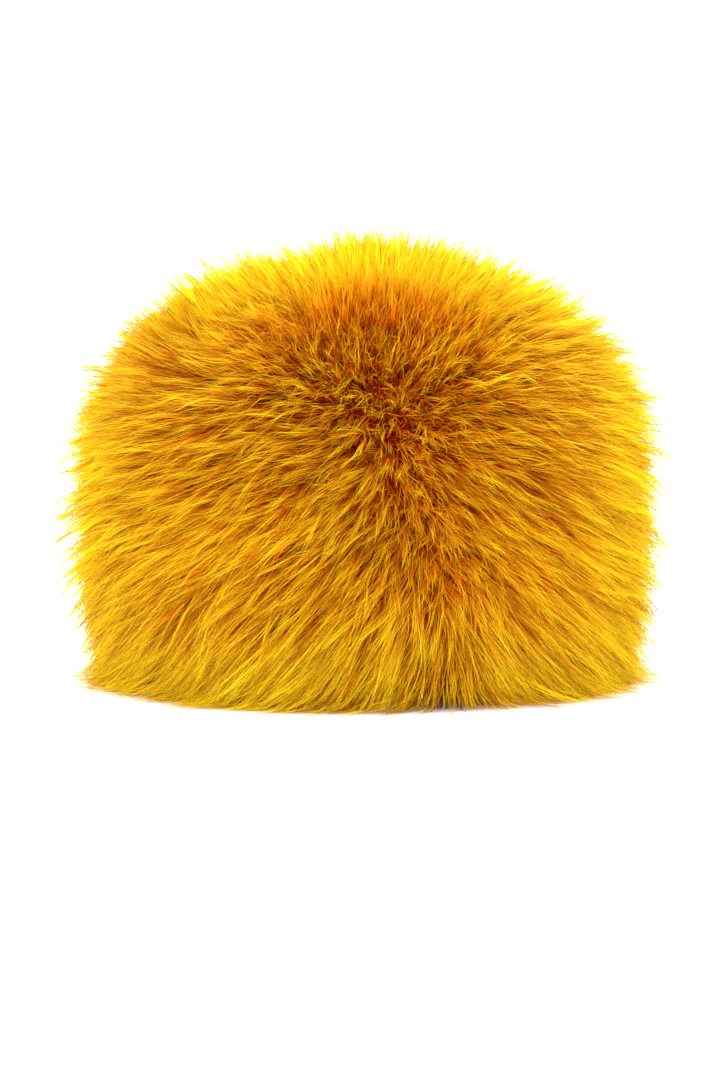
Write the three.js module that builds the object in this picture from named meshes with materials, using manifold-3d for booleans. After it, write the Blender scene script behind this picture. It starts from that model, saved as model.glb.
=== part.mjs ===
// A tall cossack hat of deep fur, standing on its rim: an oval side band and a domed crown
// panel of dressed pelt, each with its own coat of fur. Millimetres, +Z up, the front faces -Y,
// and the origin is on the surface it stands on, under the middle of the hat.
import * as THREE from "three";
import { mergeVertices } from "three/addons/utils/BufferGeometryUtils.js";
import Module from "manifold-3d";

// The head opening and the pelt
const OPENING_HALF_WIDTH = 82; // ear to ear, inside the turned hem: a 57 cm head with DEPTH_EXTRA
const DEPTH_EXTRA = 16; // how much further the oval reaches to the front and the back
const PELT = 2.2; // dressed skin with its backing cloth
const HEM_HEIGHT = 15; // depth of the edge that is turned up inside the rim
const RIM_LIFT = 12; // the fur below the rim holds the turned edge this far off the surface
const GAP = 0.35; // clearance between neighbouring pieces
const SEAM = 0.62; // where the crown seam runs, as a share of the way from rim to crown centre
const SEAM_HALF_GAP = 0.0016; // the same share, left open on each side of the seam
const SEAM_OVERHANG = 0.1; // the crown's fur hangs this share further down at the tips
const FLARE = 0.6; // below 1, the wall leaves the rim fast and then runs straight up
const SHOULDER = 0.42; // the share of that way which is side wall, before it rounds over

// Outlines from rim to crown centre. Radius is the half width: the half depth adds DEPTH_EXTRA.
// rimR and rimZ are the lower edge, sideR and sideZ the top of the side wall, topZ the crown's
// highest point, bulge the swell at mid wall, and square how boxy the shoulder is (2 is an oval).
const SKIN_SIDE = OPENING_HALF_WIDTH + 2 * PELT + 0.6;
const SKIN = {
  rimR: OPENING_HALF_WIDTH + 2 * PELT, rimZ: RIM_LIFT,
  sideR: SKIN_SIDE, sideZ: 92, topZ: 152, bulge: 0.6, square: 2.4,
};
const SKIN_INSIDE = inset(SKIN, PELT);
const FUR_ROOT = inset(SKIN, -GAP);
const TIPS = { rimR: 117, rimZ: 0, sideR: 127, sideZ: 90, topZ: 188, bulge: 4, square: 2.4 };

// The coat: packed underfur up to UNDERFUR of the way to the tips, and tiers of locks over it
const UNDERFUR = 0.5;
const LOCK_ROOT = 0.4; // depth at which a lock starts, inside the underfur
const CLEFT = { depth: 0.72, lay: 0.45 }; // how far the coat still reaches between two locks
const WHORL = new THREE.Vector3(3, -122, 138); // the coat parts here and is combed away from it
const COMB_REACH = 70; // distance from the whorl at which the comb takes full hold
const DROOP = 0.5; // pull of gravity on the lay, against the comb's 1

// One tier of locks each: at is the share from rim to crown centre of its roots, tall how much
// of that way they take up, count the locks round the oval, reach how near their tips come to
// the outline, and lay how far the comb carries a tip along the coat.
const BAND_TIERS = [
  { at: 0.06, tall: 0.1, count: 32, reach: 0.97, lay: 22 },
  { at: 0.15, tall: 0.1, count: 32, reach: 1.0, lay: 32 },
  { at: 0.25, tall: 0.1, count: 32, reach: 1.0, lay: 38 },
  { at: 0.35, tall: 0.1, count: 32, reach: 1.0, lay: 38 },
  { at: 0.45, tall: 0.1, count: 31, reach: 1.01, lay: 34 },
  { at: 0.54, tall: 0.1, count: 32, reach: 1.01, lay: 30 },
];
const CROWN_TIERS = [
  { at: 0.62, tall: 0.1, count: 31, reach: 1.02, lay: 28 },
  { at: 0.73, tall: 0.1, count: 24, reach: 1.02, lay: 28 },
  { at: 0.84, tall: 0.1, count: 17, reach: 1.02, lay: 28 },
  { at: 0.93, tall: 0.08, count: 9, reach: 1.0, lay: 26 },
];

const OVAL_STEPS = 36; // facets round the pelt and the underfur
const PROFILE_STEPS = 5; // facets along one outline
const SMALLEST_EDGE = 0.15; // slivers below this are left out where locks cross
const SAME_POINT = 1e-4; // vertices closer than this are one
const ROOM_DEPTH = 1.5; // the room of a coat goes this deep, well past its tips
const LAST_SHARE = 0.995; // roots stop this near the crown's centre
// How far a lock strays: round the hat, up it, off the comb's direction, and in length
const UNEVEN = { angle: 0.4, at: 0.03, turn: 0.35, shortest: 0.88, spread: 0.2 };

const wasm = await Module();
wasm.setup();

// An outline moved inwards by the same distance all round
function inset(form, distance) {
  return {
    ...form,
    rimR: form.rimR - distance, sideR: form.sideR - distance, topZ: form.topZ - distance,
  };
}

// The half depth of the oval whose half width is radius; it shrinks to nothing at the centre
function halfDepth(radius) {
  return radius + DEPTH_EXTRA * Math.min(1, radius / OPENING_HALF_WIDTH);
}

// The point of an outline at a share of the way from the rim to the crown's centre: x is radius
function outline(form, share) {
  if (share < SHOULDER) {
    const t = share / SHOULDER;
    const radius = THREE.MathUtils.lerp(form.rimR, form.sideR, t ** FLARE);
    return new THREE.Vector2(
      radius + form.bulge * Math.sin(Math.PI * t),
      THREE.MathUtils.lerp(form.rimZ, form.sideZ, t),
    );
  }
  const turn = ((share - SHOULDER) / (1 - SHOULDER)) * (Math.PI / 2);
  const power = 2 / form.square;
  return new THREE.Vector2(
    share >= 1 ? 0 : form.sideR * Math.cos(turn) ** power,
    form.sideZ + (form.topZ - form.sideZ) * Math.sin(turn) ** power,
  );
}

// The point of the coat between root (depth 0) and tips (depth 1)
function coatOutline(share, depth) {
  return outline(FUR_ROOT, share).lerp(outline(TIPS, share), depth);
}

// A point of the coat in space, at an angle round the hat; angle 0 is +X and -PI/2 the front
function coatPoint(share, depth, angle) {
  const at = coatOutline(share, depth);
  return new THREE.Vector3(at.x * Math.cos(angle), halfDepth(at.x) * Math.sin(angle), at.y);
}

// Points along an outline from one share to another
function run(pointAt, from, to) {
  return Array.from({ length: PROFILE_STEPS + 1 }, (_, i) =>
    pointAt(THREE.MathUtils.lerp(from, to, i / PROFILE_STEPS)),
  );
}

function solidOf(geometry) {
  geometry.deleteAttribute("normal");
  geometry.deleteAttribute("uv");
  const merged = mergeVertices(geometry, SAME_POINT);
  return new wasm.Manifold(
    new wasm.Mesh({
      numProp: 3,
      vertProperties: merged.attributes.position.array,
      triVerts: new Uint32Array(merged.index.array),
    }),
  );
}

function geometryOf(solid) {
  const mesh = solid.getMesh();
  const geometry = new THREE.BufferGeometry();
  geometry.setAttribute("position", new THREE.BufferAttribute(mesh.vertProperties, 3));
  geometry.setIndex(new THREE.BufferAttribute(mesh.triVerts, 1));
  return geometry;
}

// Turns a closed outline of radius and height into an oval solid
function ovalSolid(points) {
  const geometry = new THREE.LatheGeometry(points, OVAL_STEPS);
  geometry.rotateX(Math.PI / 2);
  const position = geometry.attributes.position;
  for (let i = 0; i < position.count; i++) {
    const x = position.getX(i);
    const y = position.getY(i);
    const radius = Math.hypot(x, y);
    if (radius > 0) position.setY(i, (y * halfDepth(radius)) / radius);
  }
  const solid = solidOf(geometry);
  if (solid.volume() > 0) return solid;
  throw new Error("an outline runs the wrong way round");
}

// The side band's pelt: one wall from the turned hem to the crown seam
function bandPelt() {
  const top = SEAM - SEAM_HALF_GAP;
  const outer = run((s) => outline(SKIN, s), 0, top);
  const inner = run((s) => outline(SKIN_INSIDE, s), top, 0);
  const hemInside = outline(SKIN_INSIDE, 0).x - PELT;
  const hemTop = RIM_LIFT + HEM_HEIGHT;
  const hemShare = (SHOULDER * HEM_HEIGHT) / (SKIN.sideZ - SKIN.rimZ);
  const hem = [
    new THREE.Vector2(outline(SKIN_INSIDE, hemShare).x, hemTop),
    new THREE.Vector2(hemInside, hemTop - PELT / 2),
    new THREE.Vector2(hemInside, RIM_LIFT + PELT / 2),
    new THREE.Vector2(hemInside + PELT, RIM_LIFT),
  ];
  const wall = inner.filter((p) => p.y > hemTop + 1);
  return ovalSolid([...outer, ...wall, ...hem, outer[0]]);
}

// The crown panel's pelt: a shallow oval dome
function crownPelt() {
  const edge = SEAM + SEAM_HALF_GAP;
  const inner = run((s) => outline(SKIN_INSIDE, s), 1, edge);
  const outer = run((s) => outline(SKIN, s), edge, 1);
  return ovalSolid([...inner, ...outer]);
}

// Where a coat that starts or stops at the seam has its edge at a depth
function edgeAt(edge, depth) {
  return edge > 0 && edge < 1 ? edge - SEAM_OVERHANG * depth : edge;
}

// The packed underfur between two shares, down to the surface if it starts at the rim
function underfur(from, to) {
  const outer = run((s) => coatOutline(s, UNDERFUR), edgeAt(from, UNDERFUR), edgeAt(to, UNDERFUR));
  const inner = run((s) => coatOutline(s, 0), to, from);
  if (from > 0) return ovalSolid([...outer, ...inner, outer[0]]);
  const foot = [
    new THREE.Vector2(OPENING_HALF_WIDTH + PELT / 2, RIM_LIFT - GAP),
    new THREE.Vector2(OPENING_HALF_WIDTH + PELT / 2, 0),
  ];
  outer[0].y = 0;
  inner[inner.length - 1].y = RIM_LIFT - GAP;
  return ovalSolid([...outer, ...inner, ...foot, outer[0]]);
}

// The room that a coat may fill, so that neighbouring coats stay apart and none sinks through
// the surface
function coatRoom(from, to) {
  const outer = run((s) => coatOutline(s, ROOM_DEPTH), edgeAt(from, ROOM_DEPTH), edgeAt(to, ROOM_DEPTH));
  const inner = run((s) => coatOutline(s, 0), to, from);
  if (from > 0) return ovalSolid([...outer, ...inner, outer[0]]);
  outer[0].y = 0;
  inner[inner.length - 1].set(OPENING_HALF_WIDTH, 0);
  return ovalSolid([...outer, ...inner, outer[0]]);
}

// A repeatable number from 0 to 1 for a row and a place in it
function chance(row, place, salt) {
  const wave = Math.sin(row * 12.9898 + place * 78.233 + salt * 37.719) * 43758.5453;
  return wave - Math.floor(wave);
}

// The way the comb and gravity pull a lock at a point, along the coat's surface
function layAt(point, normal, length) {
  const away = point.clone().sub(WHORL);
  const hold = Math.min(1, away.length() / COMB_REACH);
  const pull = away.normalize().multiplyScalar(hold);
  pull.z -= DROOP * hold;
  return pull.addScaledVector(normal, -pull.dot(normal)).multiplyScalar(length);
}

// A tier of locks that closes on itself round the hat. Each lock is a ridge that runs out to its
// tip, with a cleft on either side, and every ridge and cleft is a triangle: upper root, tip,
// lower root.
function tier(row, rowNumber, salt) {
  const corners = [];
  const columns = row.count * 2;
  for (let column = 0; column < columns; column++) {
    const luck = (draw) => chance(rowNumber, column, salt + draw);
    const ridge = column % 2 === 0;
    const stray = UNEVEN.angle * (luck(1) - 0.5);
    const angle = ((column + stray + (rowNumber % 2)) / columns) * 2 * Math.PI;
    const at = row.at + UNEVEN.at * (luck(2) - 0.5);
    const skin = coatPoint(at, 0, angle);
    const outward = coatPoint(at, 1, angle).sub(skin);
    const length = UNEVEN.shortest + UNEVEN.spread * luck(3);
    const reach = ridge ? row.reach * length : CLEFT.depth;
    const normal = outward.clone().normalize();
    const lay = layAt(skin, normal, row.lay * length * (ridge ? 1 : CLEFT.lay));
    lay.applyAxisAngle(normal, UNEVEN.turn * (luck(4) - 0.5));
    const tip = skin.clone().addScaledVector(outward, reach).add(lay);
    const upper = coatPoint(Math.min(LAST_SHARE, at + row.tall), LOCK_ROOT, angle);
    const lower = coatPoint(Math.max(0, at - row.tall), LOCK_ROOT, angle);
    corners.push(upper, tip, lower);
  }
  const faces = [];
  for (let column = 0; column < columns; column++) {
    for (let i = 0; i < 3; i++) {
      const a = column * 3 + i;
      const b = column * 3 + ((i + 1) % 3);
      const c = ((column + 1) % columns) * 3 + i;
      const d = ((column + 1) % columns) * 3 + ((i + 1) % 3);
      faces.push(a, b, d, a, d, c);
    }
  }
  const geometry = new THREE.BufferGeometry().setFromPoints(corners);
  geometry.setIndex(faces);
  return solidOf(geometry);
}

// A coat: tiers of locks fused to their underfur and kept inside their own room
function coat(tiers, from, to, salt) {
  const locks = tiers.map((row, i) => tier(row, i, salt));
  const whole = wasm.Manifold.union([underfur(from, to), ...locks]).intersect(coatRoom(from, to));
  return whole.simplify(SMALLEST_EDGE);
}

const peltLeather = new THREE.MeshStandardMaterial({ color: 0xc7a15a, roughness: 0.9 });
const mustardFur = new THREE.MeshStandardMaterial({ color: 0xe0a010, roughness: 0.75 });

function piece(name, solid, material) {
  const mesh = new THREE.Mesh(geometryOf(solid), material);
  mesh.name = name;
  return mesh;
}

const hat = new THREE.Group();
hat.add(
  piece("side_band", bandPelt(), peltLeather),
  piece("crown_panel", crownPelt(), peltLeather),
  piece("side_band_fur", coat(BAND_TIERS, 0, SEAM - SEAM_HALF_GAP, 1), mustardFur),
  piece("crown_fur", coat(CROWN_TIERS, SEAM + SEAM_HALF_GAP, 1, 8), mustardFur),
);

export default hat;
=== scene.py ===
"""A tall cossack hat of long mustard-yellow fur, standing on its rim.

The coat is real geometry: about 200,000 tapering hairs, most of them gathered into locks that are
combed away from a whorl at the front. It runs as a script. Metres, +Z up, the front faces -Y.
"""
import math

import bpy
import numpy as np
from bpy.props import FloatProperty, FloatVectorProperty, IntProperty, PointerProperty
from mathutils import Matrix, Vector, kdtree


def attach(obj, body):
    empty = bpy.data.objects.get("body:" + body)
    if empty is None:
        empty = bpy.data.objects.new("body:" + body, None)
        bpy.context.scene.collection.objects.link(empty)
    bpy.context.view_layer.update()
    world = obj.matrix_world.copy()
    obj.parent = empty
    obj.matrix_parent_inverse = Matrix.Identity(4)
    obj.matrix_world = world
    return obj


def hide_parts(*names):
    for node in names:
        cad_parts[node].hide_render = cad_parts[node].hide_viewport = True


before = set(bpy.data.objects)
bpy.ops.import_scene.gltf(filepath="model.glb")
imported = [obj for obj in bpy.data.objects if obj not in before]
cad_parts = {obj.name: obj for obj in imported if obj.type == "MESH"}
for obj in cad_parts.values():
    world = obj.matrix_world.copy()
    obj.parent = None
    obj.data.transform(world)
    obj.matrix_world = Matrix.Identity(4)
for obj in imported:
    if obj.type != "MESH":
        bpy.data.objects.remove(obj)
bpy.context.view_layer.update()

bl_info = {
    "name": "Cossack hat",
    "version": (1, 0, 0),
    "blender": (4, 5, 0),
    "location": "View3D > Sidebar > Hat",
    "description": "Dresses the packed cossack hat in pelt and long fur, and sets it on a pale floor",
    "category": "Object",
}

MM = 0.001
ROOT = "root"

# The hat's outlines from rim to crown centre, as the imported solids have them. The first is the
# outside of the pelt, where the hair grows, and the second is the line that its tips reach.
SKIN = {"rim_r": 86.8, "rim_z": 12.0, "side_r": 87.4, "side_z": 92.0, "top_z": 152.4, "bulge": 0.6}
TIPS = {"rim_r": 117.0, "rim_z": 0.0, "side_r": 127.0, "side_z": 90.0, "top_z": 188.0, "bulge": 4.0}

# The hat reaches this much further to the front and back than to the sides, in mm, and less where
# its radius is under the opening's.
DEPTH_EXTRA = 16.0
OPENING_HALF_WIDTH = 82.0

# Where the side turns into the crown and where the crown seam is, as shares of the way from rim to
# crown centre.
SHOULDER = 0.42
SEAM = 0.62

# How early the side widens, under 1 for early, and how square the shoulder is, with 2 for round.
FLARE = 0.6
SQUARE = 2.4

# The turn from each place on the coat to the next one, which spreads them evenly.
GOLDEN_ANGLE = math.pi * (3 - math.sqrt(5))

# About where the highest hairs of the crown end, in mm.
HIGHEST_TIP = 204.0

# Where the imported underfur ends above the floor, in mm; only the long fur hangs lower.
UNDERFUR_FOOT = 6.0

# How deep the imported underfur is, as a share of the coat, and half the gap at the crown seam.
UNDERFUR_DEPTH = 0.42
SEAM_GAP = 0.004

# How softly the parting below the whorl changes sides, and how much softer at the back, in mm.
PARTING_BLUR = 14.0
BACK_BLUR = 60.0

# How far the parting leans to the right, for each mm that it runs down.
PARTING_LEAN = 0.21

# The fan above the whorl is this much wider than it is tall.
FAN_WIDTH = 1.9

# The tangled hair of the upper front, and the left shoulder, where the coat stands uncombed. Both
# are places on the skin with their half sizes, in mm.
TANGLE = {"place": (2.0, -75.0, 135.0), "size": (50.0, 38.0, 18.0)}
SHOULDER_TUFT = {"place": (-62.0, -50.0, 137.0), "size": (26.0, 50.0, 17.0)}

# The parting is tangled too: the heights where that starts and ends, in mm, and how tangled it is.
TANGLED_PARTING = {"start": (20, 70), "end": (118, 140), "tangle": 0.75}

# The crest of the crown stands a little higher than the fur beside it. In mm, and the rise as a
# share of the coat's depth.
CREST = {"middle": 9.0, "half_width": 19.0, "up": (118, 140), "rise": 0.15}

# The area of the front where the hair is shorter and kinked, in mm.
SHORT_AREA = {"middle": 3.0, "half_width": 84.0, "up": (30, 68)}

# Small partings of the front, where the coat opens: across, up and how wide, in mm, and how far
# open.
PARTINGS = (
    (10, 133, 8, 0.7), (-108, 137, 9, 1.5), (-75, 152, 9, 1.5), (-49, 157, 9, 1.0),
    (-30, 158, 8, 1.0), (-94, 118, 7, 0.8), (-54, 121, 7, 0.8), (62, 150, 9, 1.0),
    (88, 128, 8, 0.8), (38, 106, 7, 0.6), (61, 93, 9, 1.3), (-34, 86, 12, 1.0),
    (-66, 40, 10, 1.0), (-84, 74, 8, 0.6), (30, 43, 8, 1.2), (26, 70, 9, 0.8),
    (58, 46, 8, 0.8), (-36, 36, 8, 0.8), (98, 74, 8, 0.8),
)

# How a small parting opens: where on a lock it is looked for, how long and wide it is against its
# stated width, how much shorter and further apart its locks are, and the painted shade that dims them,
# the shade inside the opening.
OPENED = {
    "out": 0.7, "along": 0.5, "long": 1.5, "wide": 0.8, "shorter": 0.13, "painted_shade": 0.08,
    "apart": 0.4,
}

# Painted light and shade on the front, as patches: a lit ridge on the left, the whorl and the parting
# under it lightened where their hollow lies in shade, and other lit and shaded places. Across and up,
# half width and half height, in mm, and how much lighter.
PAINTED_LIGHT_PATCHES = (
    (-36, 73, 24, 10, 0.42), (-62, 60, 16, 9, 0.12), (-4, 128, 16, 12, 0.3),
    (20, 106, 11, 18, 0.36), (-40, 113, 12, 10, -0.16), (-76, 141, 22, 15, -0.14),
    (42, 50, 24, 14, 0.1),
)

# A half size that takes in the whole hat, in mm.
WHOLE_HAT = 1e6

# Distances in mm over which the smooth changes of the coat run.
WAVES = {"broad": 34, "fine": 11, "swell": 26, "shade": 20, "ragged": 9, "lumps": 9}

# How the comb changes over the hat. A pair is where a change starts and ends, in mm: the height
# above the whorl, or a place across, towards the back or up. It takes hold from a share of the
# comb's reach.
COMB = {
    "hold_start": 0.29,
    "blur_back": (-60, 130),
    "steep_low": 1.45, "steep_less": 0.45, "steep_up": (40, 85),
    "rim_fall": 0.4, "rim_more": 0.6, "rim_up": (10, 32),
    "above": (-5, 14),
    "sides_back": 0.9, "sides_across": (55, 100),
    "level_back": (-20, 60),
    "forward": 0.42, "forward_far": 41,
    "tangle_less": 0.4,
    "tuft_stands": (-0.35, 0, 0.5),
    "crown_more": 0.3, "crown_back": (0, 70), "crown_up": (90, 130),
}

# A lock bends over little at its root and most towards its tip.
BEND_OVER = 1.2

# How the locks vary. A spread is the size of a random part, and a pair is where a change starts and
# ends: a share of the way from rim to crown, or a height in mm.
LOCK = {
    "share_spread": 0.006, "angle_spread": 0.012,
    "turn_broad": 0.17, "turn_fine": 0.12, "turn_spread": 0.16, "turn_short": 0.14,
    "reach": 0.95, "reach_side": 0.03, "reach_side_share": (0.25, SHOULDER), "reach_swell": 0.04,
    "reach_spread": 0.07, "reach_short": 0.6, "reach_rim": 0.14, "reach_rim_up": (12, 50),
    "lay_broad": 0.12, "lay_spread": 0.18, "lay_short": 0.52,
    "wild": 0.08, "wild_short": 0.1, "wild_tangle": 0.1,
    # The shade of the crown and of the tangle is painted light, and that of the rim painted shade: the
    # crown is lit from above and behind, the tangle lightened where the whorl's hollow lies in shade,
    # and the rim dimmed where it faces down into shade.
    "shade": 0.49, "shade_wander": 0.07, "shade_spread": 0.17, "shade_crown": 0.1,
    "shade_crown_share": (0.55, 0.85), "painted_tangle_light": 0.28, "painted_rim_shade": 0.12,
    "painted_rim_shade_up": (8, 45),
    "tuft_spread": 0.03, "ragged": 0.4, "ragged_wander": 0.75, "ragged_spread": 0.3,
}

# Where the pale tips reach further down the hairs: how far, and where that starts and ends, as a share
# of the way from rim to crown, or across, towards the back or up, in mm. The roots are paler there
# too. On the crown and the sides this is partly painted light, the glow of the lamps above, behind and
# beside the hat.
PALE_AND_GLOW = {
    "crown": 0.8, "crown_share": (0.48, 0.8),
    "side": 0.85, "side_across": (54, 83),
    "back": 0.75, "back_far": (-40, 30),
    "rim": 0.75, "rim_up": (18, 66),
    "root": 0.27,
}

# How single hairs vary: height above the floor in mm, the shares of hairs that bend along the floor
# and that leave their lock, width against the stated one, shade, which varies less on the crown, and
# how much dimmer and redder the tips are in the tangle, which is painted shade.
HAIR = {
    "floor_gap": 0.3, "floor_spread": 2.5, "bent": 0.35, "loose": 0.12, "loose_far": 0.7,
    "width": (0.65, 1.3), "shade_spread": 0.21, "shade_crown": 0.1, "shade_share": (SHOULDER, 0.75),
    "painted_tip_shade": 0.1,
}

# How far the free hairs stand out past the locks, as a share of the coat's depth: a random part
# with its mean and its most, and what the tangle, the sides and the front and back change.
FREE = {"mean": 0.27, "most": 0.37, "tangle": 0.15, "sides": 0.04, "front_back": 0.07}

# The first number of each series of random draws.
SEEDS = {"guard": 11, "down": 37, "free": 53, "free_reach": 59, "lumps": 71, "hairs": 100}

# Where the camera aims, across, in metres.
AIM_ACROSS = -0.0018

# The soft lamps that face the hat: name, place and size in metres, and power in watts.
LAMPS = (
    ("front_left", (-0.6, -1.55, 1.1), 0.6, 23),
    ("front_right", (1.0, -1.4, 0.8), 0.6, 11),
    ("front_fill", (0.05, -1.7, 0.3), 0.5, 17),
    ("side_left", (-1.3, 0.1, 0.5), 0.8, 12),
    ("side_right", (1.3, 0.1, 0.5), 0.8, 12),
    ("top_back", (0, 0.9, 1.2), 0.9, 31),
)


def outline(form, share):
    """Radius and height in mm of an outline, at shares of the way from rim to crown centre."""
    wall = np.clip(share / SHOULDER, 0, 1)
    wall_r = form["rim_r"] + (form["side_r"] - form["rim_r"]) * wall**FLARE
    wall_r = wall_r + form["bulge"] * np.sin(np.pi * wall)
    wall_z = form["rim_z"] + (form["side_z"] - form["rim_z"]) * wall
    turn = np.clip((share - SHOULDER) / (1 - SHOULDER), 0, 1) * np.pi / 2
    round_r = form["side_r"] * np.abs(np.cos(turn)) ** (2 / SQUARE)
    round_z = form["side_z"] + (form["top_z"] - form["side_z"]) * np.sin(turn) ** (2 / SQUARE)
    low = share < SHOULDER
    return np.where(low, wall_r, round_r), np.where(low, wall_z, round_z)


def coat_point(share, depth, angle):
    """Points in mm between the skin (depth 0) and the tips (depth 1); -90 degrees is the front."""
    skin_r, skin_z = outline(SKIN, share)
    tip_r, tip_z = outline(TIPS, share)
    radius = skin_r + (tip_r - skin_r) * depth
    height = skin_z + (tip_z - skin_z) * depth
    reach_y = radius + DEPTH_EXTRA * np.minimum(1, radius / OPENING_HALF_WIDTH)
    return np.stack([radius * np.cos(angle), reach_y * np.sin(angle), height], axis=-1)


def unit(vectors):
    """Vectors at length 1."""
    smallest = 1e-9
    return vectors / np.maximum(np.linalg.norm(vectors, axis=-1, keepdims=True), smallest)


def dot(a, b):
    """Dot products, kept as a last axis of one."""
    return np.sum(a * b, axis=-1, keepdims=True)


def wander(points, size, seed):
    """Smooth values from about -1 to 1 that change over a distance of size, in mm."""
    rng = np.random.default_rng(seed)
    total = np.zeros(points.shape[:-1])
    waves = 7
    shortest = 1.4
    longest = 2.8
    peak = 1.6
    for _ in range(waves):
        way = unit(rng.normal(size=3)) * 2 * np.pi / (size * rng.uniform(shortest, longest))
        total += np.sin(points @ way + rng.uniform(0, 2 * np.pi))
    return total / math.sqrt(waves / 2) / peak


def smooth_step(low, high, value):
    """0 below low and 1 above high, with a soft change between."""
    t = np.clip((value - low) / (high - low), 0, 1)
    return t * t * (3 - 2 * t)


# Settings that a user would change


class CoatSettings(bpy.types.PropertyGroup):
    """The fur: how much of it, how long, and how it lies."""

    locks: IntProperty(
        name="Locks", description="Locks of fur over the whole hat", default=20500, min=100)
    hairs_per_lock: IntProperty(
        name="Hairs per lock", description="Hairs that are gathered into one lock", default=6, min=1)
    hair_width: FloatProperty(
        name="Hair width", description="Width of a guard hair at its middle",
        default=0.33 * MM, unit="LENGTH")
    down: IntProperty(
        name="Down", description="Short, broad hairs that fill the coat under the guard hair",
        default=34000, min=100)
    down_width: FloatProperty(
        name="Down width", description="Width of a tuft of down at its middle",
        default=0.75 * MM, unit="LENGTH")
    wisps: IntProperty(
        name="Wisps", description="Small tufts of free hairs that stand out of the coat",
        default=8800, min=10)
    tufts: IntProperty(
        name="Tufts", description="Larger tufts that neighbouring locks lean towards",
        default=2200, min=10)
    tuft_gather: FloatProperty(
        name="Tuft gather", description="How far a lock leans towards the middle of its tuft",
        default=0.27, subtype="FACTOR")
    lay: FloatProperty(
        name="Lay", description="How far the comb carries a tip along the coat",
        default=31 * MM, unit="LENGTH")
    sweep: FloatProperty(
        name="Sweep", description="Fall of the coat below level, on both sides of the parting",
        default=math.radians(40), subtype="ANGLE")
    whorl: FloatVectorProperty(
        name="Whorl", description="Place on the skin of the front that the coat is combed away from",
        default=(8 * MM, -80 * MM, 144 * MM), size=3, subtype="XYZ", unit="LENGTH")
    comb_reach: FloatProperty(
        name="Comb reach", description="Distance from the whorl at which the comb takes full hold",
        default=52 * MM, unit="LENGTH")
    gather: FloatProperty(
        name="Gather", description="How tightly a lock's tips draw together",
        default=0.74, subtype="FACTOR")
    fringe: FloatProperty(
        name="Fringe", description="How far above the floor the shortest tufts of the rim end",
        default=19 * MM, unit="LENGTH")


class DyeSettings(bpy.types.PropertyGroup):
    """The dye of the fur and of the pelt."""

    # The root's deep red is partly the dye and partly painted shade, the reddened shade deep in the
    # coat.
    root: FloatVectorProperty(
        name="Root", description="Colour deep in the fur", subtype="COLOR", size=3,
        default=(0.24, 0.008, 0.0006))
    middle: FloatVectorProperty(
        name="Middle", description="Colour halfway along a hair", subtype="COLOR", size=3,
        default=(0.5, 0.105, 0.0012))
    tip: FloatVectorProperty(
        name="Tip", description="Colour at the tips", subtype="COLOR", size=3,
        default=(0.73, 0.59, 0.008))
    pelt: FloatVectorProperty(
        name="Pelt", description="Colour of the skin side", subtype="COLOR", size=3,
        default=(0.62, 0.4, 0.13))


class StageSettings(bpy.types.PropertyGroup):
    """The camera and the room."""

    elevation: FloatProperty(
        name="Elevation", description="Camera's angle above the floor",
        default=math.radians(4), subtype="ANGLE")
    distance: FloatProperty(
        name="Distance", description="From the camera to the hat", default=1.4, unit="LENGTH")
    frame_height: FloatProperty(
        name="Frame height", description="What the frame's height takes in at the hat",
        default=475 * MM, unit="LENGTH")
    aim_height: FloatProperty(
        name="Aim height", description="Height that lies in the middle of the frame",
        default=60.5 * MM, unit="LENGTH")


# Shader groups


def group_of(name, inputs, outputs):
    """An empty shader group with its sockets."""
    tree = bpy.data.node_groups.new(name, "ShaderNodeTree")
    for socket, kind, value in inputs:
        made = tree.interface.new_socket(name=socket, in_out="INPUT", socket_type=kind)
        made.default_value = value
    for socket, kind in outputs:
        tree.interface.new_socket(name=socket, in_out="OUTPUT", socket_type=kind)
    return tree


def add(tree, kind, **values):
    """A node of a kind, with its settings."""
    node = tree.nodes.new(kind)
    for key, value in values.items():
        setattr(node, key, value)
    return node


def noise(tree, vector, scale, detail, roughness=0.55):
    """A noise texture on a vector."""
    node = add(tree, "ShaderNodeTexNoise")
    node.inputs["Scale"].default_value = scale
    node.inputs["Detail"].default_value = detail
    node.inputs["Roughness"].default_value = roughness
    tree.links.new(vector, node.inputs["Vector"])
    return node.outputs["Fac"]


def ramp(tree, value, stops):
    """A colour ramp; a stop is a place and a colour or a grey."""
    node = add(tree, "ShaderNodeValToRGB")
    elements = node.color_ramp.elements
    while len(elements) < len(stops):
        elements.new(0.5)
    for element, (place, colour) in zip(elements, stops):
        element.position = place
        grey = isinstance(colour, (int, float))
        element.color = (colour, colour, colour, 1) if grey else (*colour, 1)
    tree.links.new(value, node.inputs["Fac"])
    return node.outputs["Color"]


def multiplied(tree, factor, first, second):
    """One colour multiplied by another, as far as a factor says."""
    node = add(tree, "ShaderNodeMix", data_type="RGBA", blend_type="MULTIPLY")
    node.inputs[0].default_value = factor
    tree.links.new(first, node.inputs[6])
    tree.links.new(second, node.inputs[7])
    return node.outputs[2]


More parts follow.
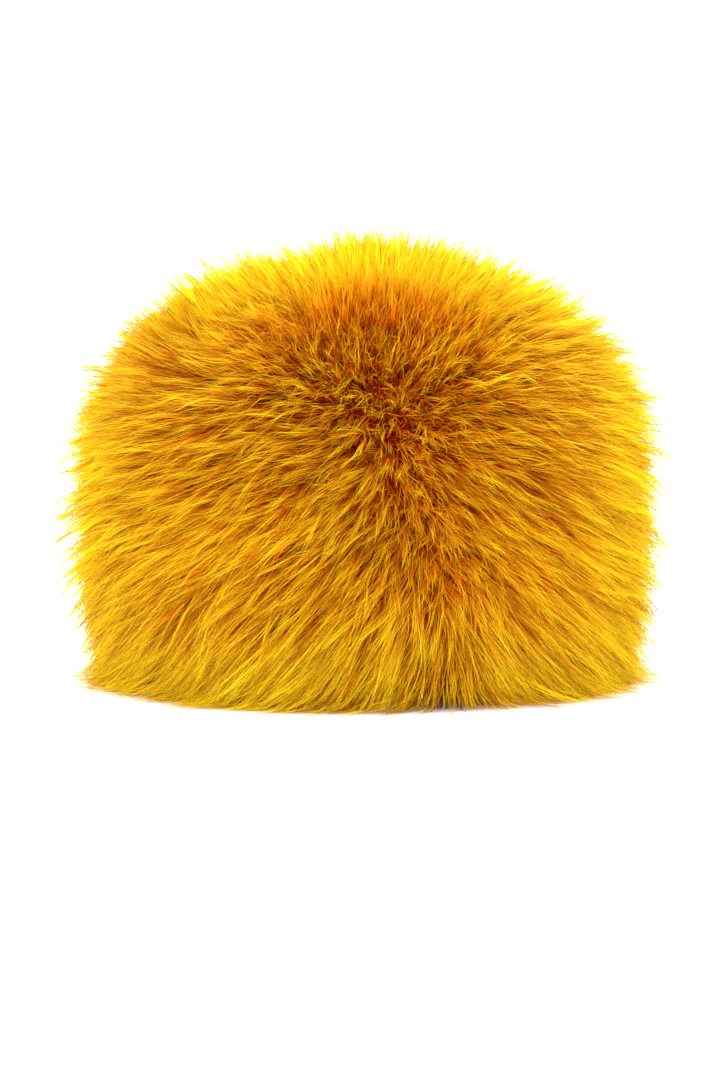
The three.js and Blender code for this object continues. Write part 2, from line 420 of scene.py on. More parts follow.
def make_dye_and_light_group(dye):
    """The dye and painted light of a hair: its colour by its shade, and by the way from its root to
    its tip; the shade carries painted light and shade, and the deep red of the roots is partly painted
    shade of the coat's depth.
    """
    tree = group_of(
        "Hair Dye and Painted Light",
        [("Shade", "NodeSocketFloat", 0.5), ("Along", "NodeSocketFloat", 0.5)],
        [("Color", "NodeSocketColor")],
    )
    source = add(tree, "NodeGroupInput")
    out = add(tree, "NodeGroupOutput")
    root, middle, tip = np.array(dye.root), np.array(dye.middle), np.array(dye.tip)
    between = middle * 0.45 + tip * 0.55
    # Dimmer and redder towards the root: partly the dye, and partly painted shade, the reddened shade
    # deep in the coat.
    along = ramp(tree, source.outputs["Along"], [
        (0.0, root), (0.32, root * 0.55 + middle * 0.45), (0.58, middle), (0.8, between),
        (1.0, tip)])
    shade = ramp(tree, source.outputs["Shade"], [
        (0.0, (0.38, 0.12, 0.2)), (0.3, (0.74, 0.5, 0.5)), (0.55, (0.98, 0.97, 1.0)),
        (0.8, (1.18, 1.24, 1.3)), (1.0, (1.3, 1.4, 2.0))])
    tree.links.new(multiplied(tree, 1.0, along, shade), out.inputs["Color"])
    return tree


def principled(name):
    """A new material with its tree and its shader."""
    material = bpy.data.materials.new(name)
    material.use_nodes = True
    tree = material.node_tree
    return material, tree, tree.nodes["Principled BSDF"]


def make_fur_material(dye_and_light_group):
    """Dyed hair with painted light and shade in its colour: soft where the light falls on it, and
    glowing where it comes through.
    """
    material, tree, shader = principled("dyed_fur_and_painted_light")
    place = add(tree, "ShaderNodeUVMap", uv_map="OFBake")
    axes = add(tree, "ShaderNodeSeparateXYZ")
    tree.links.new(place.outputs["UV"], axes.inputs["Vector"])
    dye = add(tree, "ShaderNodeGroup", node_tree=dye_and_light_group)
    tree.links.new(axes.outputs["X"], dye.inputs["Shade"])
    tree.links.new(axes.outputs["Y"], dye.inputs["Along"])
    tree.links.new(dye.outputs["Color"], shader.inputs["Base Color"])
    shader.inputs["Roughness"].default_value = 0.6
    shader.inputs["Specular IOR Level"].default_value = 0.04
    glow = add(tree, "ShaderNodeBsdfTranslucent")
    tree.links.new(dye.outputs["Color"], glow.inputs["Color"])
    blend = add(tree, "ShaderNodeMixShader")
    blend.inputs[0].default_value = 0.36
    tree.links.new(shader.outputs["BSDF"], blend.inputs[1])
    tree.links.new(glow.outputs["BSDF"], blend.inputs[2])
    tree.links.new(blend.outputs["Shader"], tree.nodes["Material Output"].inputs["Surface"])
    return material


def make_underfur_material(dye):
    """Packed underfur: dark, soft and streaked. Its dark tone, taken from the root's, is partly
    painted shade of the coat's depth.
    """
    material, tree, shader = principled("packed_underfur")
    place = add(tree, "ShaderNodeTexCoord").outputs["Object"]
    streaks = noise(tree, place, 420, 4)
    clumps = noise(tree, place, 90, 3)
    dark = np.array(dye.root) * 0.55
    colour = ramp(tree, streaks, [(0.3, dark), (0.7, np.array(dye.root) * 1.5)])
    shaded = multiplied(tree, 0.6, colour, ramp(tree, clumps, [(0.35, 0.35), (0.65, 1.0)]))
    tree.links.new(shaded, shader.inputs["Base Color"])
    shader.inputs["Roughness"].default_value = 0.95
    shader.inputs["Specular IOR Level"].default_value = 0.05
    bump = add(tree, "ShaderNodeBump")
    bump.inputs["Strength"].default_value = 0.6
    bump.inputs["Distance"].default_value = 2 * MM
    tree.links.new(streaks, bump.inputs["Height"])
    tree.links.new(bump.outputs["Normal"], shader.inputs["Normal"])
    return material


def make_pelt_material(dye):
    """The skin side of the pelt: dressed suede with a fine nap and soft mottling."""
    material, tree, shader = principled("dressed_pelt")
    place = add(tree, "ShaderNodeTexCoord").outputs["Object"]
    nap = noise(tree, place, 1600, 4, 0.7)
    mottle = noise(tree, place, 38, 4)
    base = np.array(dye.pelt)
    colour = ramp(tree, mottle, [(0.3, base * 0.72), (0.55, base), (0.75, base * 1.18)])
    fine = multiplied(tree, 0.5, colour, ramp(tree, nap, [(0.3, 0.7), (0.7, 1.0)]))
    tree.links.new(fine, shader.inputs["Base Color"])
    rough = ramp(tree, nap, [(0.3, 0.78), (0.7, 0.95)])
    tree.links.new(rough, shader.inputs["Roughness"])
    shader.inputs["Sheen Weight"].default_value = 0.25
    bump = add(tree, "ShaderNodeBump")
    bump.inputs["Strength"].default_value = 0.35
    bump.inputs["Distance"].default_value = 0.5 * MM
    tree.links.new(nap, bump.inputs["Height"])
    tree.links.new(bump.outputs["Normal"], shader.inputs["Normal"])
    return material


# The coat


def mesh_of(name, points, loops, sizes, uv, material):
    """An object from flat arrays: points in mm, corner indices, corners per face, corner UVs."""
    mesh = bpy.data.meshes.new(name)
    mesh.vertices.add(len(points))
    mesh.vertices.foreach_set("co", (points * MM).astype(np.float32).ravel())
    mesh.loops.add(len(loops))
    mesh.loops.foreach_set("vertex_index", loops.astype(np.int32))
    mesh.polygons.add(len(sizes))
    starts = np.concatenate([[0], np.cumsum(sizes)[:-1]])
    mesh.polygons.foreach_set("loop_start", starts.astype(np.int32))
    mesh.polygons.foreach_set("use_smooth", np.ones(len(sizes), dtype=bool))
    layer = mesh.uv_layers.new(name="OFBake")
    layer.data.foreach_set("uv", uv.astype(np.float32).ravel())
    mesh.update(calc_edges=True)
    mesh.validate()
    mesh.materials.append(material)
    piece = bpy.data.objects.new(name, mesh)
    bpy.context.scene.collection.objects.link(piece)
    return piece


def spread(count):
    """Shares and angles that cover the coat evenly."""
    samples = 600
    depth = 0.6
    steps = np.linspace(0.0, 1.0, samples)
    middle = coat_point(steps, depth, np.zeros_like(steps))
    strip = np.linalg.norm(np.diff(middle, axis=0), axis=-1)
    area = strip * (middle[1:, 0] + middle[:-1, 0] + DEPTH_EXTRA)
    total = np.concatenate([[0], np.cumsum(area)])
    place = (np.arange(count) + 0.5) / count * total[-1]
    share = np.interp(place, total, steps)
    return share, np.arange(count) * GOLDEN_ANGLE % (2 * np.pi)


def beside_parting(skin, coat):
    """How far places are to the right of the parting, in mm."""
    away = skin - np.array(coat.whorl) / MM
    return away[..., :1] + PARTING_LEAN * np.minimum(away[..., 2:], 0)


def tangle_at(skin, coat):
    """How tangled the coat is: most over the whorl, less along the parting, and not beyond them."""
    apart = (skin - TANGLE["place"]) / TANGLE["size"]
    round_whorl = np.exp(-((apart**2).sum(axis=-1, keepdims=True) ** 1.5))
    parting = np.exp(-((beside_parting(skin, coat) / PARTING_BLUR) ** 2)) * (skin[..., 1:2] < 0)
    parting = parting * smooth_step(*TANGLED_PARTING["start"], skin[..., 2:])
    parting = parting * (1 - smooth_step(*TANGLED_PARTING["end"], skin[..., 2:]))
    return np.maximum(round_whorl, TANGLED_PARTING["tangle"] * parting)


def comb_at(skin, normal, depth, coat):
    """Where the comb carries each tip along the coat, as a share of the lay.

    Round the whorl the hair stands straight out to the front. Above, the coat fans out from the
    whorl. Below, it is swept down to both sides of a parting, which blurs towards the back.
    """
    away = skin - np.array(coat.whorl) / MM
    far = np.linalg.norm(away, axis=-1, keepdims=True)
    hold = smooth_step(COMB["hold_start"], 1, far / (coat.comb_reach / MM))
    x, y, z = skin[..., :1], skin[..., 1:2], skin[..., 2:]
    round_hat = unit(np.concatenate([-y, x, np.zeros_like(x)], axis=-1))
    blur = PARTING_BLUR + BACK_BLUR * smooth_step(*COMB["blur_back"], y)
    swept = round_hat * np.tanh(beside_parting(skin, coat) / blur) * math.cos(coat.sweep)
    steeper = COMB["steep_low"] - COMB["steep_less"] * smooth_step(*COMB["steep_up"], z)
    fall = COMB["rim_fall"] + COMB["rim_more"] * smooth_step(*COMB["rim_up"], z)
    swept[..., 2:] -= math.sin(coat.sweep) * steeper * fall
    above = smooth_step(*COMB["above"], away[..., 2:])
    fan = unit(away * np.array([FAN_WIDTH, 1, 1]))
    fan[..., 1:2] += COMB["sides_back"] * smooth_step(*COMB["sides_across"], np.abs(x))
    level = fan - normal * dot(fan, normal)
    fan = fan + (unit(level) - fan) * smooth_step(*COMB["level_back"], y)
    near = np.exp(-((far / COMB["forward_far"]) ** 2))
    forward = np.array([0, -1, 0]) * COMB["forward"] * near * depth / (coat.lay / MM)
    apart = (skin - SHOULDER_TUFT["place"]) / SHOULDER_TUFT["size"]
    stands = np.exp(-(apart**2).sum(axis=-1, keepdims=True))
    pull = (fan * above + swept * (1 - above)) * hold * (1 - stands) + forward
    pull = pull * (1 - COMB["tangle_less"] * tangle_at(skin, coat))
    pull = pull + stands * np.array(COMB["tuft_stands"])
    behind = smooth_step(*COMB["crown_back"], y)
    pull = pull * (1 + COMB["crown_more"] * behind * smooth_step(*COMB["crown_up"], z))
    return pull - normal * dot(pull, normal)


def turned(vectors, axis, angles):
    """Vectors turned about unit axes by angles."""
    c = np.cos(angles)[..., None]
    s = np.sin(angles)[..., None]
    return vectors * c + np.cross(axis, vectors) * s + axis * dot(axis, vectors) * (1 - c)


def nearest(points, centres):
    """For each point, the index of the nearest centre."""
    tree = kdtree.KDTree(len(centres))
    for number, centre in enumerate(centres):
        tree.insert(centre, number)
    tree.balance()
    return np.array([tree.find(point)[1] for point in points])


class Locks:
    """The middle line, size and shade of every lock."""

    def __init__(self, coat, count, seed):
        rng = np.random.default_rng(seed)
        share, angle = spread(count)
        share = np.clip(share + rng.normal(0, LOCK["share_spread"], count), 0, 0.999)
        angle = angle + rng.normal(0, LOCK["angle_spread"], count)
        self.share = share
        self.skin = coat_point(share, 0.0, angle)
        outward = coat_point(share, 1.0, angle) - self.skin
        self.normal = unit(outward)
        self.depth = np.linalg.norm(outward, axis=-1, keepdims=True)
        across, back, up = self.skin.T
        comb = comb_at(self.skin, self.normal, self.depth, coat)
        self.tangle = tangle_at(self.skin, coat)[:, 0]
        broad = wander(self.skin, WAVES["broad"], seed + 1)
        fine = wander(self.skin, WAVES["fine"], seed + 2)
        turn = LOCK["turn_broad"] * broad + LOCK["turn_fine"] * fine
        turn += rng.normal(0, LOCK["turn_spread"], count)
        short = np.abs((across - SHORT_AREA["middle"]) / SHORT_AREA["half_width"])
        short = np.exp(-(short**3)) * smooth_step(*SHORT_AREA["up"], up) * (back < 0)
        turn += LOCK["turn_short"] * short * rng.normal(0, 1, count)
        comb = turned(comb, self.normal, turn)
        swell = wander(self.skin, WAVES["swell"], seed + 3)
        self.reach = LOCK["reach"] + LOCK["reach_swell"] * swell
        self.reach += LOCK["reach_side"] * smooth_step(*LOCK["reach_side_share"], share)
        self.reach += rng.normal(0, LOCK["reach_spread"], count) * (1 + LOCK["reach_short"] * short)
        self.reach += LOCK["reach_rim"] * (1 - smooth_step(*LOCK["reach_rim_up"], up))
        crest = np.exp(-(((across - CREST["middle"]) / CREST["half_width"]) ** 4))
        self.reach += CREST["rise"] * crest * smooth_step(*CREST["up"], up)
        lay = 1 + LOCK["lay_broad"] * broad + rng.normal(0, LOCK["lay_spread"], count)
        self.lay = coat.lay / MM * lay * (1 - LOCK["lay_short"] * short)
        wild = LOCK["wild"] + LOCK["wild_short"] * short + LOCK["wild_tangle"] * self.tangle
        stray = rng.normal(0, 1, (count, 3)) * wild[:, None]
        self.comb = comb + (stray - self.normal * dot(stray, self.normal))
        self.shade = LOCK["shade"] + LOCK["shade_wander"] * wander(self.skin, WAVES["shade"], seed + 4)
        self.shade += rng.normal(0, LOCK["shade_spread"], count)
        # Painted light on the crown and the tangle, and painted shade at the rim.
        self.shade += LOCK["shade_crown"] * smooth_step(*LOCK["shade_crown_share"], share)
        self.shade += LOCK["painted_tangle_light"] * self.tangle
        self.shade -= LOCK["painted_rim_shade"] * (1 - smooth_step(*LOCK["painted_rim_shade_up"], up))
        self.open_partings()
        tuft_share, tuft_angle = spread(coat.tufts)
        tuft_angle = tuft_angle + rng.normal(0, LOCK["tuft_spread"], coat.tufts)
        tufts = coat_point(tuft_share, 0.0, tuft_angle)
        self.lean = (tufts[nearest(self.skin, tufts)] - self.skin) * coat.tuft_gather
        ragged = wander(self.skin * [1, 1, 0], WAVES["ragged"], seed + 5)
        ragged = LOCK["ragged"] + LOCK["ragged_wander"] * ragged
        ragged += rng.uniform(-LOCK["ragged_spread"], LOCK["ragged_spread"], count)
        self.least = coat.fringe / MM * np.clip(ragged, 0, 1)

    def open_partings(self):
        """Opens the coat at the small partings of the front with painted shade in them, and paints the
        light and shade of its patches.

        The partings run the way the coat is combed.
        """
        middle = self.skin + self.normal * self.depth * OPENED["out"]
        middle = middle + self.comb * self.lay[:, None] * OPENED["along"]
        flow = unit(self.comb * [1, 0, 1])
        beside = np.stack([-flow[:, 2], np.zeros(len(flow)), flow[:, 0]], axis=-1)
        for across, up, wide, open_far in PARTINGS:
            apart = middle - np.array([across, 0, up])
            along = dot(apart, flow)[:, 0] / (OPENED["long"] * wide)
            off = dot(apart, beside)[:, 0] / (OPENED["wide"] * wide)
            near = open_far * np.exp(-(along**2) - off**2) * (middle[:, 1] < 0)
            self.reach -= OPENED["shorter"] * near
            self.shade -= OPENED["painted_shade"] * near
            push = beside * (near * off)[:, None] * OPENED["apart"]
            self.comb += push - self.normal * dot(push, self.normal)
        # The painted light and shade of the front's patches.
        for across, up, wide, tall, lighter in PAINTED_LIGHT_PATCHES:
            apart = (middle - np.array([across, 0, up])) / np.array([wide, WHOLE_HAT, tall])
            self.shade += lighter * np.exp(-(apart**2).sum(axis=1)) * (middle[:, 1] < 0)

    def keep_below(self, top):
        """Shortens the locks whose tips would stand higher than top, in mm."""
        least_rise = 1.0
        least_reach = 0.8
        free = top - self.skin[:, 2] - np.maximum(self.comb[:, 2] * self.lay, 0)
        rise = np.maximum(self.normal[:, 2] * self.depth[:, 0], least_rise)
        self.reach = np.minimum(self.reach, np.maximum(free / rise, least_reach))

    def line(self, index, t, start):
        """Points on the middle lines of locks, at t from 0 (at depth start) to 1 (the tip)."""
        out = start + (self.reach[index][:, None] - start) * (0.5 * np.sin(np.pi / 2 * t) + 0.5 * t)
        side = self.lay[index][:, None] * t**BEND_OVER
        skin = self.skin[index][:, None, :]
        normal = self.normal[index][:, None, :]
        comb = self.comb[index][:, None, :]
        depth = self.depth[index][:, None, :]
        lean = self.lean[index][:, None, :] * (t**BEND_OVER)[..., None]
        return skin + normal * depth * out[..., None] + comb * side[..., None] + lean


def clear_of_floor(locks, index, length, start, least):
    """Lengths cut back to where each hair would first come down to its least height."""
    trials = 15
    least_share = 0.15
    trial = np.linspace(0, 1, trials)[None, :]
    height = locks.line(index, trial * length, start)[..., 2]
    sunk = height < least[:, None]
    first = np.where(sunk.any(axis=1), sunk.argmax(axis=1), trials)
    share = np.clip((first - 0.5) / (trials - 1), least_share, 1)
    return length * share[:, None]


def splayed(points, normal, least):
    """Lines that would sink below their least height, bent outward along the floor instead."""
    highest = 2.5
    most_out = 4
    out_over = 8
    down_over = 6
    floor_gap = 0.2
    low = np.minimum(least, highest)[:, None]
    sunk = np.maximum(low - points[..., 2], 0)
    out = unit(normal * np.array([1, 1, 0]))
    points = points + out[:, None, :] * (most_out * (1 - np.exp(-sunk / out_over)))[..., None]
    points[..., 2] = np.maximum(points[..., 2], low * np.exp(-sunk / down_over) + floor_gap)
    return points


def ribbons(points, width, twist, outward):
    """Tapering ribbons along lines of points: vertices, corners, corners per face.

    The last value is the corners of one ribbon.
    """
    taper = 0.75
    taper_late = 2.2
    strands, steps, _ = points.shape
    tangent = unit(np.gradient(points, axis=1))
    side = unit(np.cross(tangent, outward[:, None, :]))
    side = turned(side, tangent, np.repeat(twist[:, None], steps, axis=1))
    t = np.linspace(0, 1, steps)
    half = (width[:, None] / 2 * (1 - taper * t**taper_late))[..., None]
    left = (points - side * half)[:, :-1]
    right = (points + side * half)[:, :-1]
    rows = np.stack([left, right], axis=2).reshape(strands, -1, 3)
    vertices = np.concatenate([rows, points[:, -1:]], axis=1)
    per = vertices.shape[1]
    corners = []
    for row in range(steps - 2):
        a = 2 * row
        corners += [a, a + 1, a + 3, a + 2]
    corners += [per - 3, per - 2, per - 1]
    sizes = [4] * (steps - 2) + [3]
    loops = (np.arange(strands) * per)[:, None] + np.array(corners)[None, :]
    return vertices.reshape(-1, 3), loops.ravel(), np.tile(sizes, strands), np.array(corners)


def ribbon_uv(shade, first, last, corners, steps):
    """Corner UVs of ribbons: across is the shade, and up is the dye, from first to last."""
    half = 0.004
    margin = 0.01
    across = np.array([-half, half] * (steps - 1) + [0.0])
    up = np.append(np.repeat(np.arange(steps - 1) / (steps - 1), 2), 1.0)
    u = np.clip(shade, margin, 1 - margin)[:, None] + across[corners][None, :]
    v = first[:, None] + (last - first)[:, None] * up[corners][None, :]
    return np.stack([u, np.broadcast_to(v, u.shape)], axis=-1).reshape(-1, 2)


def pale_and_glow_at(locks, index):
    """How far the pale tips reach down: on the crown, the sides, the back and near the rim; on the
    crown and the sides it is partly painted glow.
    """
    across, back, up = locks.skin[index].T
    pale = PALE_AND_GLOW["crown"] * smooth_step(*PALE_AND_GLOW["crown_share"], locks.share[index])
    pale = np.maximum(pale, PALE_AND_GLOW["side"] * smooth_step(*PALE_AND_GLOW["side_across"], np.abs(across)))
    pale = np.maximum(pale, PALE_AND_GLOW["back"] * smooth_step(*PALE_AND_GLOW["back_far"], back))
    pale = np.maximum(pale, PALE_AND_GLOW["rim"] * (1 - smooth_step(*PALE_AND_GLOW["rim_up"], up)))
    return pale * (1 - locks.tangle[index] ** 2)


def grow(name, locks, chosen, style, seed, material):
    """One piece of the coat: the hairs of the chosen locks, in one style."""
    rng = np.random.default_rng(seed)
    per = rng.poisson(style["hairs"], len(chosen))
    index = np.repeat(chosen, per)
    count = len(index)
    steps = style["steps"]
    start = style["start"]
    t = np.linspace(0, 1, steps)[None, :]
    length = np.sqrt(rng.uniform(style["shortest"] ** 2, style["longest"] ** 2, count))[:, None]
    length = length * (1 - style["tangled"] * locks.tangle[index])[:, None]
    last = style["first"] + (style["last"] - style["first"]) * length[:, 0] / style["longest"]
    pale = pale_and_glow_at(locks, index)
    last += (1 - last) * pale
    # Painted shade: dimmer, redder tips in the tangle, in the whorl's shaded hollow.
    last *= 1 - HAIR["painted_tip_shade"] * locks.tangle[index] ** 4
    first = style["first"] + PALE_AND_GLOW["root"] * pale
    least = HAIR["floor_gap"] + locks.least[index] + rng.uniform(0, HAIR["floor_spread"], count)
    cut = clear_of_floor(locks, index, length, start, least)
    bent = rng.uniform(0, 1, count) < HAIR["bent"]
    length[~bent] = cut[~bent]
    centre = locks.line(index, t * length, start)
    normal = locks.normal[index]
    any_way = np.array([0.3, 0.2, 0.9])
    along = unit(np.cross(normal, any_way))
    across = np.cross(normal, along)
    spin = rng.uniform(0, 2 * np.pi, count)
    radius = style["radius"] * np.sqrt(rng.uniform(0, 1, count))
    offset = (along * np.cos(spin)[:, None] + across * np.sin(spin)[:, None]) * radius[:, None]
    loose = 1 - style["gather"] * np.sqrt(t * length)
    leaves = rng.uniform(0, 1, count) < HAIR["loose"]
    loose = loose + leaves[:, None] * HAIR["loose_far"] * t
    points = centre + offset[:, None, :] * loose[..., None]
    bend = rng.normal(0, style["bend"], (count, 3)) * (1 + locks.tangle[index])[:, None]
    points += bend[:, None, :] * (t**2)[..., None]
    points = splayed(points, normal, least)
    width = style["width"] * rng.uniform(*HAIR["width"], count)
    twist = rng.uniform(-1.0, 1.0, count)
    vertices, loops, sizes, corners = ribbons(points, width, twist, normal)
    crown = smooth_step(*HAIR["shade_share"], locks.share[index])
    varied = HAIR["shade_spread"] - HAIR["shade_crown"] * crown
    shade = locks.shade[index] + rng.normal(0, 1, count) * varied + style["shade"]
    uv = ribbon_uv(shade, first, last, corners, steps)
    piece = mesh_of(name, vertices, loops, sizes, uv, material)
    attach(piece, ROOT)
    return piece


def shell(name, low, high, depth, material):
    """A closed, lumpy mass of packed underfur over the pelt, between two shares."""
    rows = 40
    columns = 144
    lump = 0.06
    off_skin = 0.01
    under_skin = -0.09
    share = np.linspace(low, high, rows)
    angle = np.linspace(0, 2 * np.pi, columns, endpoint=False)
    grid_share, grid_angle = np.meshgrid(share, angle, indexing="ij")
    inner = coat_point(grid_share, off_skin, grid_angle)
    bare = coat_point(grid_share, depth, grid_angle)
    lumps = 1 + lump * wander(bare, WAVES["lumps"], SEEDS["lumps"])
    outer = coat_point(grid_share, depth * lumps, grid_angle)
    if low == 0:
        outer[0, :, 2] = UNDERFUR_FOOT
        inner[0] = coat_point(np.zeros(columns), under_skin, angle)
        inner[0, :, 2] = UNDERFUR_FOOT
    points = np.concatenate([outer, inner[::-1]]).reshape(-1, 3)
    total = 2 * rows
    quads = []
    for row in range(total):
        for column in range(columns):
            after = (column + 1) % columns
            below = (row + 1) % total
            quads.append([row * columns + column, row * columns + after,
                          below * columns + after, below * columns + column])
    quads = np.array(quads)
    uv = np.zeros((quads.size, 2))
    flat = quads.ravel()
    uv[:, 0] = (flat % columns) / columns
    uv[:, 1] = (flat // columns) / total
    piece = mesh_of(name, points, flat, np.full(len(quads), 4), uv, material)
    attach(piece, ROOT)
    return piece


# Operators


class HAT_OT_pelt(bpy.types.Operator):
    """Gives the side band and the crown panel their dressed skin."""

    bl_idname = "hat.pelt"
    bl_label = "Pelt"

    def execute(self, context):
        material = make_pelt_material(context.scene.hat_dye)
        for node in ("side_band", "crown_panel"):
            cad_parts[node].material_slots[0].material = material
        return {"FINISHED"}


class HAT_OT_underfur(bpy.types.Operator):
    """Packs the underfur over the pelt, on the band and on the crown."""

    bl_idname = "hat.underfur"
    bl_label = "Underfur"

    def execute(self, context):
        material = make_underfur_material(context.scene.hat_dye)
        band = shell("underfur_band", 0, SEAM - SEAM_GAP, UNDERFUR_DEPTH, material)
        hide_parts("side_band_fur")
        crown = shell("underfur_crown", SEAM + SEAM_GAP, 0.999, UNDERFUR_DEPTH, material)
        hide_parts("crown_fur")
        return {"FINISHED"}


class HAT_OT_coat(bpy.types.Operator):
    """Grows the long fur in locks, combed away from the whorl."""

    bl_idname = "hat.coat"
    bl_label = "Coat"

    def execute(self, context):
        coat = context.scene.hat_coat
        thin = 1
        material = make_fur_material(make_dye_and_light_group(context.scene.hat_dye))
        guard = Locks(coat, coat.locks // thin, SEEDS["guard"])
        down = Locks(coat, coat.down // thin, SEEDS["down"])
        free = Locks(coat, coat.wisps // thin, SEEDS["free"])
        further = np.random.default_rng(SEEDS["free_reach"])
        further = further.exponential(FREE["mean"], len(free.reach))
        free.reach += np.minimum(further, FREE["most"])
        free.reach -= FREE["tangle"] * free.tangle
        free.reach += FREE["sides"] * np.abs(free.normal[:, 0])
        free.reach -= FREE["front_back"] * np.abs(free.normal[:, 1])
        for locks in (guard, free):
            locks.keep_below(HIGHEST_TIP)

        # A style: hairs to a lock, points on a hair, the depth where it starts, its shortest and
        # longest length as shares of the lock's, how far it starts off the lock's line and how far
        # it bends, in mm, how tightly the tips gather, its width in mm, what its shade adds, the
        # part of the dye from first to last, and how much shorter it is in the tangle.
        free_style = {
            "hairs": 5, "steps": 3, "start": 0.7, "shortest": 0.8, "longest": 1.0, "radius": 2.4,
            "gather": 0.7, "bend": 0.9, "width": coat.hair_width / MM * 0.62, "shade": 0.02,
            "first": 0.6, "last": 1.0, "tangled": 0.3,
        }
        guard_style = {
            "hairs": coat.hairs_per_lock, "steps": 4, "start": 0.42, "shortest": 0.6,
            "longest": 1.0, "radius": 2.3, "gather": coat.gather, "bend": 1.2,
            "width": coat.hair_width / MM, "shade": 0.0, "first": 0.3, "last": 1.0, "tangled": 0.1,
        }
        # The down's lower shade, and its dye that stops short of the tip colour, are partly painted
        # shade in the gaps between the locks.
        down_style = {
            "hairs": 1, "steps": 4, "start": 0.36, "shortest": 0.55, "longest": 0.85,
            "radius": 1.5, "gather": 0.2, "bend": 1.0,
            "width": coat.down_width / MM, "shade": -0.1, "first": 0.1, "last": 0.8, "tangled": 0.0,
        }
        layers = (
            ("coat", guard, guard_style), ("down", down, down_style), ("wisps", free, free_style))
        for layer, locks, style in layers:
            facing = np.degrees(np.arctan2(locks.skin[:, 1], locks.skin[:, 0]))
            crown = locks.share > SEAM
            sides = {
                "front": (facing > -135) & (facing <= -45) & ~crown,
                "right": (facing > -45) & (facing <= 45) & ~crown,
                "back": (facing > 45) & (facing <= 135) & ~crown,
                "left": ((facing > 135) | (facing <= -135)) & ~crown,
                "crown": crown,
            }
            for number, (side, chosen) in enumerate(sides.items()):
                index = np.flatnonzero(chosen)
                seed = SEEDS["hairs"] + number
                piece = grow(f"{layer}_{side}", locks, index, style, seed, material)
                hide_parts("crown_fur" if side == "crown" else "side_band_fur")
        return {"FINISHED"}


class HAT_OT_stage(bpy.types.Operator):
    """Sets the pale floor, the soft studio lights and the camera."""

    bl_idname = "hat.stage"
    bl_label = "Stage"

    def execute(self, context):
        scene = context.scene
        settings = scene.hat_stage
        make_floor()
        make_lights(scene)
        make_camera(scene, settings)
        scene.view_settings.view_transform = "Standard"
        scene.cycles.denoising_prefilter = "NONE"
        return {"FINISHED"}


def make_floor():
    """A round white floor that sweeps up into a wall on all sides."""
    flat = 2.6
    bend = 1.2
    wall = 2.0
    turns = 12
    columns = 96
    middle = 0.5
    profile = [(middle, 0.0), (flat, 0.0)]
    for i in range(1, turns + 1):
        turn = math.pi / 2 * i / turns
        profile.append((flat + bend * math.sin(turn), bend - bend * math.cos(turn)))
    profile.append((flat + bend, wall))
    angles = [2 * math.pi * i / columns for i in range(columns)]
    points = [(r * math.cos(a), r * math.sin(a), z) for r, z in profile for a in angles]
    faces = [tuple(range(columns))]
    for row in range(len(profile) - 1):
        for column in range(columns):
            a = row * columns + column
            b = row * columns + (column + 1) % columns
            faces.append((a, a + columns, b + columns, b))
    mesh = bpy.data.meshes.new("floor")
    mesh.from_pydata(points, [], faces)
    mesh.polygons.foreach_set("use_smooth", [True] * len(faces))
    material, tree, shader = principled("white_paper")
    place = add(tree, "ShaderNodeTexCoord").outputs["Object"]
    grain = noise(tree, place, 300, 2)
    tree.links.new(ramp(tree, grain, [(0.3, 0.92), (0.7, 0.95)]), shader.inputs["Base Color"])
    shader.inputs["Roughness"].default_value = 0.9
    mesh.materials.append(material)
    floor = bpy.data.objects.new("floor", mesh)
    bpy.context.scene.collection.objects.link(floor)


def make_light(name, place, aim, size, power):
    """One soft square lamp that faces a point."""
    lamp = bpy.data.lights.new(name, "AREA")
    lamp.shape = "SQUARE"
    lamp.size = size
    lamp.energy = power
    light = bpy.data.objects.new(name, lamp)
    light.location = place
    light.rotation_euler = (Vector(aim) - Vector(place)).to_track_quat("-Z", "Y").to_euler()
    bpy.context.scene.collection.objects.link(light)


def make_lights(scene):
    """A white room, a soft front, lamps at the sides and behind for glowing edges, and one that
    lights the wall behind the hat."""
    world = bpy.data.worlds.new("room")
    world.use_nodes = True
    world.node_tree.nodes["Background"].inputs["Color"].default_value = (1, 1, 1, 1)
    world.node_tree.nodes["Background"].inputs["Strength"].default_value = 0.7
    scene.world = world
    hat = (0, 0, 0.1)
    for name, place, size, power in LAMPS:
        make_light(name, place, hat, size, power)
    make_light("backdrop", (0, 1.6, 3.2), (0, 3.6, 0.6), 3.0, 240)


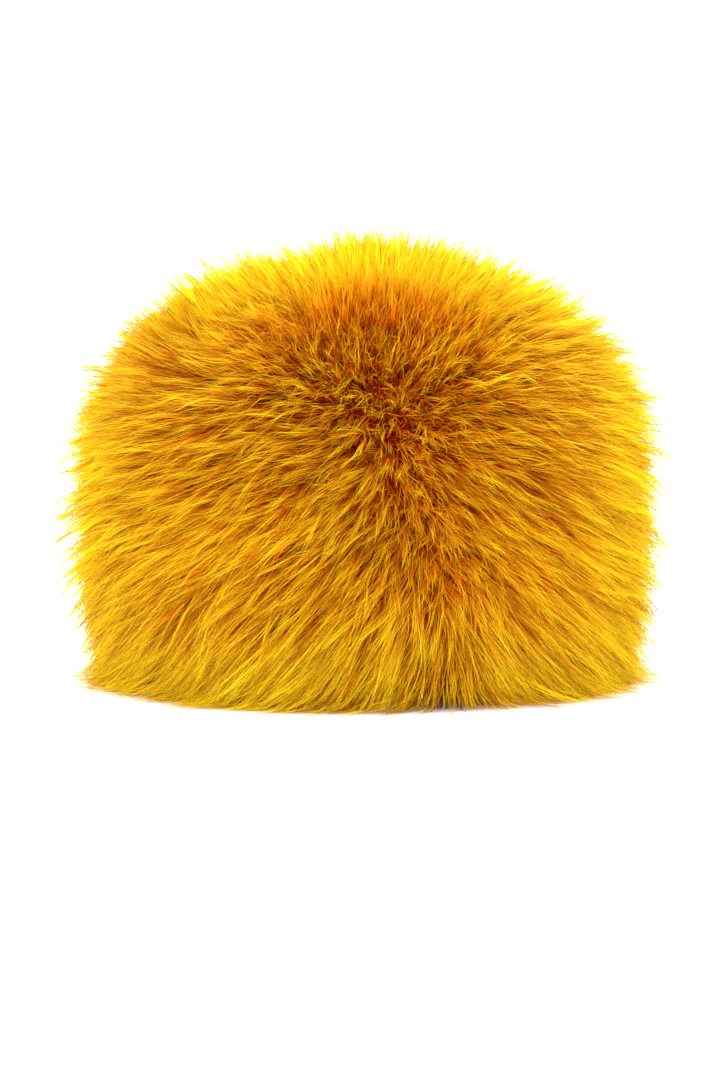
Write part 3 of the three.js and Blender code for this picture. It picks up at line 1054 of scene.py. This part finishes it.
def make_camera(scene, settings):
    """A long lens a little above the floor, with an upright frame."""
    data = bpy.data.cameras.new("camera")
    data.sensor_fit = "VERTICAL"
    data.sensor_height = 36
    data.lens = data.sensor_height * settings.distance / settings.frame_height
    camera = bpy.data.objects.new("camera", data)
    aim = Vector((AIM_ACROSS, 0, settings.aim_height))
    back = Vector((0, -math.cos(settings.elevation), math.sin(settings.elevation)))
    camera.location = aim + back * settings.distance
    camera.rotation_euler = (aim - camera.location).to_track_quat("-Z", "Y").to_euler()
    scene.collection.objects.link(camera)
    scene.camera = camera


class HAT_PT_sidebar(bpy.types.Panel):
    """Lists the steps that dress the hat, and their settings."""

    bl_idname = "HAT_PT_sidebar"
    bl_label = "Cossack hat"
    bl_space_type = "VIEW_3D"
    bl_region_type = "UI"
    bl_category = "Hat"

    def draw(self, context):
        for step in STEPS:
            self.layout.operator(step.bl_idname)
        for settings in ("hat_coat", "hat_dye", "hat_stage"):
            group = getattr(context.scene, settings)
            box = self.layout.box()
            for name in group.bl_rna.properties.keys():
                if name not in ("rna_type", "name"):
                    box.prop(group, name)


STEPS = (HAT_OT_stage, HAT_OT_pelt, HAT_OT_underfur, HAT_OT_coat)
GROUPS = {"hat_coat": CoatSettings, "hat_dye": DyeSettings, "hat_stage": StageSettings}


def register():
    """Registers the settings, the steps and the panel."""
    for name, group in GROUPS.items():
        bpy.utils.register_class(group)
        setattr(bpy.types.Scene, name, PointerProperty(type=group))
    for step in STEPS:
        bpy.utils.register_class(step)
    bpy.utils.register_class(HAT_PT_sidebar)


def unregister():
    """Takes them off again."""
    bpy.utils.unregister_class(HAT_PT_sidebar)
    for step in reversed(STEPS):
        bpy.utils.unregister_class(step)
    for name, group in GROUPS.items():
        delattr(bpy.types.Scene, name)
        bpy.utils.unregister_class(group)


def main():
    """Runs every step in order."""
    register()
    bpy.ops.hat.stage()
    bpy.ops.hat.pelt()
    bpy.ops.hat.underfur()
    bpy.ops.hat.coat()


if __name__ == "__main__":
    main()
